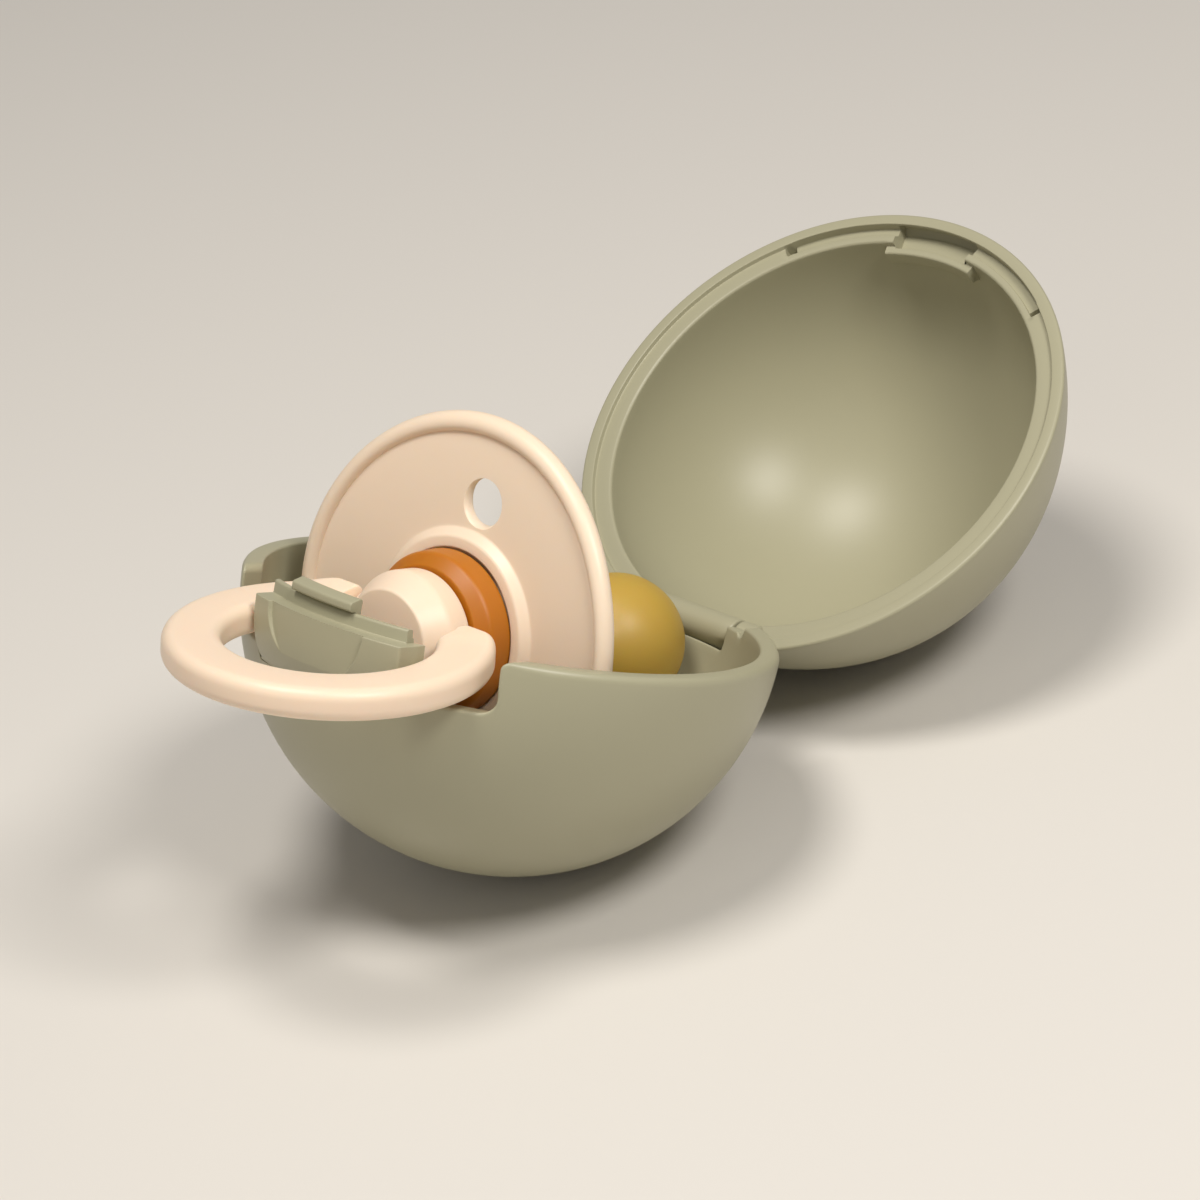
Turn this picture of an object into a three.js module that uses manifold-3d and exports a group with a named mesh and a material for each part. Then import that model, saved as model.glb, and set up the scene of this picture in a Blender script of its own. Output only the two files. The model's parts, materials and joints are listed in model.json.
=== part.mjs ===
// Ball-shaped pacifier case, standing open, with the pacifier that it carries.
// Millimetres, +Z up. X runs along the hinge, the latch is at -Y and the hinge at +Y.
// The case is drawn in its own frame: the bowl's rim lies in z = 0 about the origin, and
// the lid is drawn shut. Nested groups then open the lid and lean the whole case back until
// the bowl and the lid both touch the table.

import * as THREE from "three";
import { mergeVertices } from "three/addons/utils/BufferGeometryUtils.js";
import Module from "manifold-3d";

const wasm = await Module();
wasm.setup();

// Driving dimensions

// Fits and counts
const gap = 0.3; // between pieces that touch
const slip = 0.4; // between pieces that slide past each other
const overrun = 3; // how far a cutting shape runs past what it cuts
const shellSides = 52; // facets round the bowl and the lid
const discSides = 44; // facets round the pacifier's shield
const knobSides = 32; // facets round the knob and the teat
const pinSides = 18; // facets round pins and bores

// Bowl
const bowlRadius = 28; // outer radius of the lower half
const bowlWall = 2.15;
const rimOuterRound = 0.9;
const rimInnerRound = 0.35;
const footRadius = 5.2; // small flat at the bottom

// Ring slots either side of the latch
const slotSideClear = 1.4; // between the ring and the outer wall of each slot
const slotFloorClear = 0.4; // under the ring
const slotFloorRound = 1.8;
const slotLipRound = 0.9;

// Latch tab, its rib, its hook and the thumb recess
const latchSideClear = 0.75; // between the tab and the ring that lies round it
const latchHeight = 6.75; // from its root up to its ledge
const latchProud = 0.6; // at the ledge the tab stands out this far from the bowl
const ledgeDrop = 0.55; // the ledge lies this far under the bowl's rim
const ribInset = 1.15; // of the rib's front from the bowl's outer radius
const ribThickness = 0.75;
const ribHeight = 1.35;
const ribRound = 0.25;
const hookHalfWidth = 4.8;
const hookRise = 1.45; // above the rib's top
const hookReach = 0.65; // how far the nose overhangs the rib
const hookNoseHeight = 0.75;
const hookSlopeDrop = 0.55; // from the hook's top down to its nose
const hookRound = 0.32;
const thumbRadius = 6.9;
const thumbDepth = 0.65;
const thumbRise = 0.3; // of its centre above the ledge

// Lid
const rimOverhang = 0.6; // the lid's dome is this much wider than the bowl at the rim plane
const domeFlattening = 2; // the dome is this much lower than the bowl's radius
const lidTaper = 10; // the lid's ellipse has its centre this far under the rim plane
const cavityStep = 0.89; // the cavity is this much narrower than the bowl's inside
const lidCrown = 1.9; // wall at the top
const rimEdgeRound = 0.3;
const rimStepInset = 0.95; // of the step inside the rim's outer band from the bowl's radius
const rimStepDepth = 0.5;
const rimStepSlope = 0.1;
const cavityRound = 0.35;
const frontAngle = 38.5; // half of the lid's front zone, degrees
const grooveClear = 0.25; // of the groove from the rib, either side
const grooveDepth = 1.1;
const notchAngle = 2.2; // degrees round the rim
const notchWidth = 1.2;
const notchDepth = 1.8;
const catchThickness = 0.4; // of the edge that the hook's nose catches on
const pocketSideGap = 0.35;
const pocketFrontGap = 0.2;
const pocketWall = 0.75; // the thin wall that closes the pocket towards the cavity
const pocketBackGap = 1.15; // room behind the hook, into which it springs
const pocketHeadroom = 0.4; // over the hook
const pocketRoof = 0.7;
const pocketWallDrop = 0.7; // its edge lies this far deeper than the lid's inner ledge

// Hinge
const hingeInset = 1.07; // of the axis from the bowl's outer radius
const hingeDrop = 2.25; // of the axis under the rim plane
const barrelRadius = 2;
const knuckleHalfLength = 8.6;
const earLength = 2.3;
const pinRadius = 0.6;
const pinInset = 0.2; // the pin's ends lie this far inside the ears
const knuckleRoot = 1.3; // how far the knuckle reaches up into the lid's wall
const knuckleFace = 0.4; // its outer face lies this far inside the lid's rim
const hingeMargin = 0.53384; // the hinge is trimmed this far beyond the pin's ends in the ears
const earFoot = 7.2; // how far the ears' webs run down the wall
const openAngle = 126; // degrees from shut to the stop

// Pacifier: shield
const shieldPlaceShares = { y: -0.3054, z: -0.0857 }; // bead's middle, of the bowl's radius
const shieldTiltAngle = 5.5; // degrees that the shield leans
const shieldClear = 1.09; // between the bead's lowest point and the bowl's inside
const shieldBend = 2.4; // the bead reaches this far back, beyond either vent
const shieldNarrowingShare = 0.04; // narrower by this, across the line of the vents
const beadRadius = 1.05;
const beadStartAngle = 198; // where the bead rises from the face, round its own middle
const faceInnerDepth = 0.2; // and at the hub this far behind it
const shieldBack = 1.3;
const hubOuter = 10.6;
const hubTop = 9.7;
const hubInner = 8.8;
const hubRise = 0.85;
const rearHubRadius = 6.6;
const rearHubBack = 2.1;
const shieldBore = 4.85;
const ventRadius = 2.45;
const ventLip = 0.75; // the vent's edge is opened by this much
const ventLipDepth = 0.6;
const ventPlaceShare = 0.293; // of the way from the hub out to the bead
const ventRollAngle = 5.5; // degrees that the shield is turned in its own plane

// Pacifier: teat, with its neck and collar
const collarRadius = 8.5;
const collarMiddle = 2; // in front of the bead's middle
const collarFlat = 1.2; // width of its straight side
const collarRound = 1.1;
const collarRearRound = 0.4;
const collarFrontRadius = 7.2;
const collarFront = 4.2;
const neckRadius = 4.4;
const neckLength = 11;
const bulbRadius = 7.3;
const bulbEndClear = 1.4; // between the bulb's end and the bowl's inside
const teatWall = 1.5;
const teatDroop = 4.9; // the soft neck bends down by this much
const droopStart = 2;
const droopLength = 15;
const stemRadius = 2.5;
const stemLength = 7;

// Pacifier: knob
const knobRearRadius = 6.95;
const knobFrontRadius = 7.1;
const knobShoulder = 7.3; // in front of the bead's middle, where the sides turn in
const knobFaceRadius = 5.5;
const knobFront = 10; // in front of the bead's middle
const knobRearRound = 0.4;
const knobDome = 0.2;
const padRadius = 1.5; // of the two flat pads that face the ring's ends
const pivotY = 6; // ring pivot, in front of the bead's middle
const pivotZ = 1.5; // and above the knob's axis
const pivotPinRadius = 0.95;
const pivotDepth = 2;

// Pacifier: ring
const ringCentreInset = 1.45; // of the ring's centre from the bowl's outer radius
const ringEndMargin = 2.5; // the outer edge passes this far beyond the pivots
const ringEndLength = 4.41; // of its end faces, from the pivots towards the ring's centre
const ringHeight = 3.4;
const ringRound = 1.25;
const ringTiltAngle = 4.7; // degrees that it hangs below the knob's axis
const ringTipRound = 1.6; // round of the ring's two ends

// Sizes that follow: the pacifier and its ring
const innerRadius = bowlRadius - bowlWall;
const shieldY = bowlRadius * shieldPlaceShares.y;
const shieldZ = bowlRadius * shieldPlaceShares.z;
const lowestBead = innerRadius - shieldClear - beadRadius; // reach of the bead's middle
const tiltTurn = THREE.MathUtils.degToRad(shieldTiltAngle);
const bentY = shieldY + shieldBend * Math.cos(tiltTurn);
const bentZ = shieldZ + shieldBend * Math.sin(tiltTurn);
const beadSlide = bentY * Math.sin(tiltTurn) - bentZ * Math.cos(tiltTurn);
const beadReach = Math.sqrt(beadSlide ** 2 + lowestBead ** 2 - bentY ** 2 - bentZ ** 2);
const beadCentreRadius = beadReach - beadSlide;
const ventPlace = hubOuter + (beadCentreRadius - hubOuter) * ventPlaceShare;
const bulbCentre = innerRadius - bulbEndClear - bulbRadius - shieldY;
const ringEndX = knobFrontRadius + gap;
const ringReach = bowlRadius - ringCentreInset + shieldY - pivotY;
const ringOuter = Math.hypot(ringReach, ringEndX) + ringEndMargin;
const ringInner = Math.hypot(ringReach - ringEndLength, ringEndX);
const hangTurn = THREE.MathUtils.degToRad(shieldTiltAngle + ringTiltAngle);
const ringPivotDrop = pivotY * Math.sin(tiltTurn) - pivotZ * Math.cos(tiltTurn) - shieldZ;
const ringDrop = ringPivotDrop + ringReach * Math.sin(hangTurn);

// Sizes that follow: the case
const slotEndX = ringOuter + slotSideClear;
const slotDepth = ringDrop + ringHeight / 2 + slotFloorClear;
const hingeY = bowlRadius - hingeInset;
const hingeZ = -hingeDrop;
const latchHalfWidth = ringInner - latchSideClear;
const ledgeZ = -ledgeDrop;
const latchRootZ = ledgeZ - latchHeight;
const ribTopZ = ledgeZ + ribHeight;
const ribOuterRadius = bowlRadius - ribInset;
const ribInnerRadius = ribOuterRadius - ribThickness;
const hookTopZ = ribTopZ + hookRise;
const noseTopZ = hookTopZ - hookSlopeDrop;
const noseRadius = ribOuterRadius + hookReach;
const earOuterX = knuckleHalfLength + gap + earLength;
const boreRadius = pinRadius + gap;
const seatRadius = barrelRadius + slip; // the rounded seat that the knuckle turns in
const hingeTrim = Math.hypot(earOuterX, hingeY) + hingeMargin; // ball that trims the hinge
const lidRimRadius = bowlRadius + rimOverhang;
const lidDepth = bowlRadius - domeFlattening; // outside, from the rim plane to the top
const lidHeight = lidDepth + lidTaper; // semi-axis of the lid's outer ellipse
const lidSpan = lidRimRadius / Math.sqrt(1 - (lidTaper / lidHeight) ** 2);
const lidCavityRadius = innerRadius - cavityStep;
const lidLedgeZ = gap + rimStepDepth; // the lid's inner ledge
const grooveOuter = ribOuterRadius + grooveClear;
const grooveInner = ribInnerRadius - grooveClear;
const pocketOuter = noseRadius + pocketFrontGap;
const pocketInner = innerRadius - pocketBackGap;

// Helpers

const radians = (angle) => THREE.MathUtils.degToRad(angle);
const point = (x, y) => new THREE.Vector2(x, y);

// Points on an arc about (cx, cy), from one angle to another in degrees.
function arc(cx, cy, radius, from, to, steps) {
  return Array.from({ length: steps + 1 }, (unused, i) => {
    const angle = radians(from + ((to - from) * i) / steps);
    return point(cx + radius * Math.cos(angle), cy + radius * Math.sin(angle));
  });
}

// A closed geometry as a solid. Flat slivers are dropped and faces are turned to point out.
function solid(geometry) {
  const bare = new THREE.BufferGeometry();
  bare.setAttribute("position", geometry.getAttribute("position"));
  if (geometry.index) bare.setIndex(geometry.index);
  const merged = mergeVertices(bare, 1e-4);
  const corners = merged.index.array;
  const kept = [];
  for (let i = 0; i < corners.length; i += 3) {
    const [a, b, c] = corners.slice(i, i + 3);
    if (a !== b && b !== c && c !== a) kept.push(a, b, c);
  }
  const build = (triangles) =>
    new wasm.Manifold(
      new wasm.Mesh({
        numProp: 3,
        vertProperties: merged.attributes.position.array,
        triVerts: new Uint32Array(triangles),
      }),
    );
  const made = build(kept);
  return made.volume() < 0 ? build(kept.reverse()) : made;
}

// A solid turned about Z from a profile of radius and height.
function turned(profile, sides = shellSides) {
  return solid(new THREE.LatheGeometry(profile, sides).rotateX(Math.PI / 2));
}

// A closed band about Z with a rectangular section.
function band(inner, outer, low, high) {
  const corners = [
    point(inner, low),
    point(outer, low),
    point(outer, high),
    point(inner, high),
    point(inner, low),
  ];
  return turned(corners);
}

function box(x0, x1, y0, y1, z0, z1) {
  const shape = new THREE.BoxGeometry(x1 - x0, y1 - y0, z1 - z0);
  return solid(shape.translate((x0 + x1) / 2, (y0 + y1) / 2, (z0 + z1) / 2));
}

// A rod along X from x0 to x1, through (y, z).
function rod(x0, x1, y, z, radius) {
  const shape = new THREE.CylinderGeometry(radius, radius, x1 - x0, pinSides);
  shape.rotateZ(Math.PI / 2);
  return solid(shape.translate((x0 + x1) / 2, y, z));
}

// An outline drawn in (y, z), extruded along X from x0 to x1.
function extrudedAlongX(outline, x0, x1) {
  const shape = new THREE.ExtrudeGeometry(new THREE.Shape(outline), {
    depth: x1 - x0,
    bevelEnabled: false,
  });
  const turn = new THREE.Matrix4().makeBasis(
    new THREE.Vector3(0, 1, 0),
    new THREE.Vector3(0, 0, 1),
    new THREE.Vector3(1, 0, 0),
  );
  return solid(shape.applyMatrix4(turn).translate(x0, 0, 0));
}

// A wedge about Z between two angles, measured from -Y towards +X in degrees.
function wedge(from, to, low, high) {
  const reach = lidRimRadius * 2;
  const corner = (angle) =>
    point(reach * Math.sin(radians(angle)), -reach * Math.cos(radians(angle)));
  const middle = (from + to) / 2;
  const outline = [point(0, 0), corner(from), corner(middle), corner(to)];
  const shape = new THREE.ExtrudeGeometry(new THREE.Shape(outline), {
    depth: high - low,
    bevelEnabled: false,
  });
  return solid(shape.translate(0, 0, low));
}

function geometryOf(body) {
  const { vertProperties, triVerts } = body.getMesh();
  const geometry = new THREE.BufferGeometry();
  geometry.setAttribute("position", new THREE.BufferAttribute(vertProperties, 3));
  geometry.setIndex(new THREE.BufferAttribute(triVerts, 1));
  geometry.computeVertexNormals();
  return geometry;
}

function plastic(color, roughness) {
  return new THREE.MeshStandardMaterial({ color, roughness, metalness: 0 });
}

function named(name, body, material) {
  const mesh = new THREE.Mesh(geometryOf(body), material);
  mesh.name = name;
  return mesh;
}

// Bowl

// The bowl's section: foot flat, outer sphere, rounded rim and inner sphere.
function bowlProfile() {
  const footAngle = THREE.MathUtils.radToDeg(Math.asin(footRadius / bowlRadius));
  const rimCentre = Math.sqrt((bowlRadius - rimOuterRound) ** 2 - rimOuterRound ** 2);
  const rimAngle = THREE.MathUtils.radToDeg(Math.atan2(-rimOuterRound, rimCentre));
  const edgeCentre = Math.sqrt((innerRadius + rimInnerRound) ** 2 - rimInnerRound ** 2);
  const edgeAngle = THREE.MathUtils.radToDeg(Math.atan2(-rimInnerRound, edgeCentre));
  return [
    point(0, -Math.sqrt(bowlRadius ** 2 - footRadius ** 2)),
    ...arc(0, 0, bowlRadius, footAngle - 90, rimAngle, 11),
    ...arc(rimCentre, -rimOuterRound, rimOuterRound, rimAngle, 90, 4).slice(1),
    ...arc(edgeCentre, -rimInnerRound, rimInnerRound, 90, 180 + edgeAngle, 2),
    ...arc(0, 0, innerRadius, edgeAngle, -90, 10).slice(1, -1),
    point(0, -innerRadius),
  ];
}

// The opening in the front rim: two ring slots and, deeper between them, the latch's window.
function frontWindow() {
  const top = overrun;
  const floor = -slotDepth;
  const windowHalf = latchHalfWidth + gap;
  const lipX = slotEndX + slotLipRound;
  const half = [
    point(windowHalf, latchRootZ - gap),
    point(windowHalf, floor),
    ...arc(slotEndX - slotFloorRound, floor + slotFloorRound, slotFloorRound, -90, 0, 5),
    ...arc(lipX, -slotLipRound, slotLipRound, 180, 90, 4),
    point(lipX, top),
  ];
  const mirrored = half.map((p) => point(-p.x, p.y)).reverse();
  const shape = new THREE.ExtrudeGeometry(new THREE.Shape([...half, ...mirrored]), {
    depth: bowlRadius + overrun,
    bevelEnabled: false,
  });
  return solid(shape.rotateX(Math.PI / 2));
}

// One hinge ear's section: a web on the wall that carries a rounded eye.
function earOutline() {
  const wallY = hingeY - barrelRadius - gap;
  return [
    point(wallY, hingeZ + barrelRadius),
    point(hingeY, hingeZ + barrelRadius),
    ...arc(hingeY, hingeZ, barrelRadius, 80, -50, 9),
    point(wallY + gap, hingeZ - earFoot),
    point(wallY - gap, hingeZ - earFoot),
  ].reverse();
}

function lowerShell() {
  const trim = solid(new THREE.SphereGeometry(hingeTrim, shellSides, shellSides / 2));
  const ears = [-1, 1].map((side) => {
    const inner = knuckleHalfLength + gap;
    const [x0, x1] = side > 0 ? [inner, earOuterX] : [-earOuterX, -inner];
    return extrudedAlongX(earOutline(), x0, x1).intersect(trim);
  });
  const half = knuckleHalfLength + gap;
  const seatTop = box(-half, half, hingeY / 2, hingeTrim, hingeZ - seatRadius / 2, overrun);
  const seat = rod(-half, half, hingeY, hingeZ, seatRadius);
  return turned(bowlProfile())
    .subtract(frontWindow())
    .add(ears[0])
    .add(ears[1])
    .subtract(seatTop)
    .subtract(seat)
    .subtract(rod(-hingeTrim, hingeTrim, hingeY, hingeZ, boreRadius));
}

// Latch tab

// The tab's section: the bowl's wall, which comes proud towards the top, a ledge and the rib
// that rises behind it.
function tabProfile() {
  const low = latchRootZ - overrun;
  const shoulderZ = ledgeZ + ribHeight / 3;
  const outerAngle = (z) => THREE.MathUtils.radToDeg(Math.asin(z / bowlRadius));
  const innerAngle = (z) => THREE.MathUtils.radToDeg(Math.asin(z / innerRadius));
  const face = arc(0, 0, bowlRadius, outerAngle(low), outerAngle(ledgeZ), 8).map((p) => {
    const proud = latchProud * THREE.MathUtils.smoothstep(p.y, latchRootZ, ledgeZ);
    return point(p.x + proud, p.y);
  });
  return [
    ...face,
    point(ribOuterRadius, ledgeZ),
    ...arc(ribOuterRadius - ribRound, ribTopZ - ribRound, ribRound, 0, 90, 2),
    ...arc(ribInnerRadius + ribRound, ribTopZ - ribRound, ribRound, 90, 180, 2),
    point(ribInnerRadius, shoulderZ),
    ...arc(0, 0, innerRadius, innerAngle(ledgeZ), innerAngle(low), 5),
    point(bowlRadius * Math.cos(radians(outerAngle(low))), low),
  ];
}

// The hook's section: a flat back, a top that slopes down outwards and an overhanging nose.
function hookProfile() {
  const back = innerRadius;
  const under = noseTopZ - hookNoseHeight;
  return [
    point(back, ledgeZ),
    point(ribOuterRadius - ribRound, ledgeZ),
    point(ribOuterRadius - ribRound, under),
    ...arc(noseRadius - hookRound, under + hookRound, hookRound, -90, 0, 3),
    ...arc(noseRadius - hookRound, noseTopZ - hookRound, hookRound, 0, 75, 3),
    ...arc(back + hookRound, hookTopZ - hookRound, hookRound, 75, 180, 3),
    point(back, ledgeZ),
  ];
}

function latchTab() {
  const front = -bowlRadius - overrun;
  const back = -bowlRadius / 2;
  const high = hookTopZ + overrun;
  const slice = box(-latchHalfWidth, latchHalfWidth, front, back, latchRootZ, high);
  const hookSlice = box(-hookHalfWidth, hookHalfWidth, front, back, ledgeZ, high);
  const thumb = new THREE.CylinderGeometry(
    thumbRadius,
    thumbRadius,
    bowlRadius + overrun,
    knobSides,
  );
  thumb.translate(0, -(bowlRadius + overrun) / 2, ledgeZ + thumbRise);
  const core = solid(
    new THREE.SphereGeometry(
      bowlRadius + latchProud - thumbDepth,
      shellSides,
      shellSides / 2,
    ),
  );
  const below = box(-bowlRadius, bowlRadius, front, 0, -bowlRadius, ledgeZ);
  return turned(tabProfile())
    .intersect(slice)
    .subtract(solid(thumb).subtract(core).intersect(below))
    .add(turned(hookProfile()).intersect(hookSlice));
}

// Lid

// The lid's section: a tapered dome, the rim's outer band, a step up to the inner ledge, and
// the cavity.
function lidProfile() {
  const edgeZ = gap + rimEdgeRound;
  const edgeAngle = THREE.MathUtils.radToDeg(Math.acos((lidTaper + edgeZ) / lidHeight));
  const outer = arc(0, 0, 1, 90, 90 - edgeAngle, 12).map((p) =>
    point(p.x * lidSpan, p.y * lidHeight - lidTaper),
  );
  const edgeRadius = outer[outer.length - 1].x - rimEdgeRound;
  const stepRadius = bowlRadius - rimStepInset;
  const cavityLow = lidLedgeZ + cavityRound;
  const cavityHeight = lidDepth - lidCrown - cavityLow;
  const inner = arc(0, 0, 1, 0, 90, 11).map((p) =>
    point(p.x * lidCavityRadius, cavityLow + p.y * cavityHeight),
  );
  const roundX = lidCavityRadius + cavityRound;
  return [
    ...outer,
    ...arc(edgeRadius, edgeZ, rimEdgeRound, 0, -90, 3).slice(1),
    point(stepRadius, gap),
    point(stepRadius - rimStepSlope, lidLedgeZ),
    ...arc(roundX, cavityLow, cavityRound, -90, -180, 2).slice(0, -1),
    ...inner,
  ];
}

// What the front of the lid has over the latch: the rib's groove, its end notches, and the
// pocket with the edge that the hook catches on.
function withLatchFront(lid) {
  const grooveTop = gap + grooveDepth;
  const groove = band(grooveInner, grooveOuter, -overrun, grooveTop).intersect(
    wedge(-frontAngle, frontAngle, -overrun, grooveTop),
  );
  const notchTop = gap + notchDepth;
  const notch = band(grooveInner, grooveInner + notchWidth, -overrun, notchTop);
  const notches = [-1, 1].map((side) => {
    const ends = [side * frontAngle, side * (frontAngle + notchAngle)];
    return notch.intersect(
      wedge(Math.min(...ends), Math.max(...ends), -overrun, notchTop),
    );
  });
  const pocketTop = hookTopZ + pocketHeadroom;
  const pocketHalf = hookHalfWidth + pocketSideGap;
  const blockHalf = pocketHalf + pocketWall;
  const front = -bowlRadius * 2;
  const blockTop = pocketTop + pocketRoof;
  const blockLow = lidLedgeZ + pocketWallDrop;
  const block = band(pocketInner - pocketWall, grooveInner, blockLow, blockTop).intersect(
    box(-blockHalf, blockHalf, front, 0, blockLow, blockTop),
  );
  const pocketBox = box(-pocketHalf, pocketHalf, front, 0, -overrun, pocketTop);
  const pocket = band(pocketInner, grooveOuter, -overrun, pocketTop).intersect(pocketBox);
  const noseTop = noseTopZ + pocketHeadroom;
  const undercut = band(pocketInner, pocketOuter, gap + catchThickness, noseTop);
  return lid
    .subtract(groove)
    .subtract(notches[0])
    .subtract(notches[1])
    .add(block)
    .subtract(pocket)
    .subtract(undercut.intersect(pocketBox));
}

// The knuckle that hangs from the back of the lid into the bowl's seat, and holds the pin.
function lidKnuckle() {
  const root = gap + knuckleRoot;
  const outline = [
    point(hingeY - barrelRadius, root),
    ...arc(hingeY, hingeZ, barrelRadius, 180, 430, 17),
    point(lidRimRadius - knuckleFace, gap + rimEdgeRound),
    point(lidRimRadius - knuckleFace * 2, root),
  ];
  const trim = solid(new THREE.SphereGeometry(hingeTrim, shellSides, shellSides / 2));
  return extrudedAlongX(outline, -knuckleHalfLength, knuckleHalfLength).intersect(trim);
}

function lidShell() {
  return withLatchFront(turned(lidProfile()))
    .add(lidKnuckle())
    .subtract(rod(-hingeTrim, hingeTrim, hingeY, hingeZ, boreRadius));
}

// Pacifier. Its own frame has +Y along its axis towards the teat, and the bead in y = 0.

function turnedAboutY(profile, sides) {
  return solid(new THREE.LatheGeometry(profile, sides));
}

// The shield's bend and its slight oval, about the line of the vents.
function bent(geometry) {
  const place = geometry.getAttribute("position");
  const turn = radians(ventRollAngle);
  for (let i = 0; i < place.count; i += 1) {
    const [x, y, z] = [place.getX(i), place.getY(i), place.getZ(i)];
    const along = x * Math.sin(turn) + z * Math.cos(turn);
    const across = x * Math.cos(turn) - z * Math.sin(turn);
    const outward = (Math.hypot(x, z) - hubOuter) / (beadCentreRadius - hubOuter);
    const narrow = across * (1 - shieldNarrowingShare * THREE.MathUtils.clamp(outward, 0, 1));
    place.setXYZ(
      i,
      along * Math.sin(turn) + narrow * Math.cos(turn),
      y + shieldBend * (along / beadCentreRadius) ** 2,
      along * Math.cos(turn) - narrow * Math.sin(turn),
    );
  }
  return geometry;
}

function shield() {
  const disc = new THREE.LatheGeometry(
    [
      point(shieldBore, gap),
      point(hubInner, gap),
      point(hubInner, faceInnerDepth - hubRise),
      point(hubTop, faceInnerDepth - hubRise),
      point(hubOuter, faceInnerDepth),
      ...arc(beadCentreRadius, 0, beadRadius, beadStartAngle, 450, 10),
      point(beadCentreRadius - beadRadius, shieldBack),
      point(rearHubRadius + gap * 2, shieldBack),
      point(rearHubRadius, rearHubBack),
      point(shieldBore, rearHubBack),
      point(shieldBore, gap),
    ],
    discSides,
  );
  const vent = new THREE.LatheGeometry(
    [
      point(0, -beadRadius - overrun),
      point(ventRadius + ventLip, -beadRadius - overrun),
      point(ventRadius + ventLip, -ventLipDepth / 2),
      point(ventRadius + ventLip / 3, ventLipDepth / 3),
      point(ventRadius, ventLipDepth),
      point(ventRadius, shieldBack + overrun),
      point(0, shieldBack + overrun),
    ],
    pinSides,
  );
  const turn = radians(ventRollAngle);
  const back = shieldBend * (ventPlace / beadCentreRadius) ** 2;
  const vents = [ventPlace, -ventPlace].map((place) =>
    solid(vent.clone().translate(place * Math.sin(turn), back, place * Math.cos(turn))),
  );
  return solid(bent(disc)).subtract(vents[0]).subtract(vents[1]);
}

// The soft neck and bulb bend down: each section slides down by a smooth step.
function drooped(geometry) {
  const place = geometry.getAttribute("position");
  for (let i = 0; i < place.count; i += 1) {
    const step = THREE.MathUtils.smoothstep(
      place.getY(i),
      droopStart,
      droopStart + droopLength,
    );
    place.setZ(i, place.getZ(i) - teatDroop * step);
  }
  return geometry;
}

// One rubber piece: the collar under the knob, the neck and the hollow bulb.
function teat() {
  const bore = stemRadius + gap;
  const curve = (neck, bulb, start) => {
    const join = radians(-40);
    const end = point(bulb * Math.cos(join), bulbCentre + bulb * Math.sin(join));
    return new THREE.CubicBezierCurve(
      point(neck, start),
      point(neck, (start + end.y) / 2),
      point(end.x + Math.sin(join) * neck * 0.9, end.y - Math.cos(join) * neck * 0.9),
      end,
    ).getPoints(6);
  };
  const outer = [
    point(neckRadius, 0),
    ...curve(neckRadius, bulbRadius, neckLength),
    ...arc(0, bulbCentre, bulbRadius, -40, 90, 8).slice(1),
  ];
  const hollow = [
    ...arc(0, bulbCentre, bulbRadius - teatWall, 90, -40, 5),
    ...curve(bore, bulbRadius - teatWall, neckLength).reverse().slice(1),
  ];
  const neckSteps = [1, 2, 3].map((i) => point(neckRadius, (neckLength * i) / 4));
  const boreSteps = [3, 2, 1].map((i) => point(bore, (neckLength * i) / 4));
  const sideRadius = collarRadius - collarRound;
  const rearRadius = collarRadius - collarRearRound;
  const rearMiddle = -gap - collarRearRound;
  const profile = [
    point(bore, -collarFront),
    point(collarFrontRadius, -collarFront),
    ...arc(sideRadius, -collarMiddle - collarFlat / 2, collarRound, -50, 0, 2),
    ...arc(rearRadius, rearMiddle, collarRearRound, 0, 90, 2),
    outer[0],
    ...neckSteps,
    ...outer.slice(1),
    ...hollow,
    ...boreSteps,
    point(bore, -collarFront),
  ];
  return solid(drooped(new THREE.LatheGeometry(profile, knobSides)));
}

// The knob: a drum whose sides turn in to a flat face, with a stem that plugs into the neck
// and, at each side, a flat pad with a blind pivot hole.
function knob() {
  const rear = -collarFront - gap;
  const body = turnedAboutY(
    [
      point(0, stemLength - collarFront),
      point(stemRadius * 0.8, stemLength - collarFront),
      point(stemRadius, stemLength - collarFront - stemRadius / 2),
      point(stemRadius, rear),
      point(knobRearRadius - knobRearRound, rear),
      point(knobRearRadius, rear - knobRearRound),
      point(knobFrontRadius, knobRearRound - knobShoulder),
      point(knobFrontRadius - knobDome, -knobShoulder - knobRearRound),
      point(knobFaceRadius + knobRearRound, knobRearRound - knobFront),
      point(knobFaceRadius, -knobFront + knobDome / 2),
      point(knobFaceRadius - knobRearRound, -knobFront),
      point(0, -knobFront - knobDome),
    ],
    knobSides,
  );
  const socket = pivotPinRadius + gap;
  const inner = ringEndX - pivotDepth - gap;
  return body
    .add(rod(-knobFrontRadius, knobFrontRadius, -pivotY, pivotZ, padRadius))
    .subtract(rod(inner, knobFrontRadius + overrun, -pivotY, pivotZ, socket))
    .subtract(rod(-knobFrontRadius - overrun, -inner, -pivotY, pivotZ, socket));
}

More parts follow.
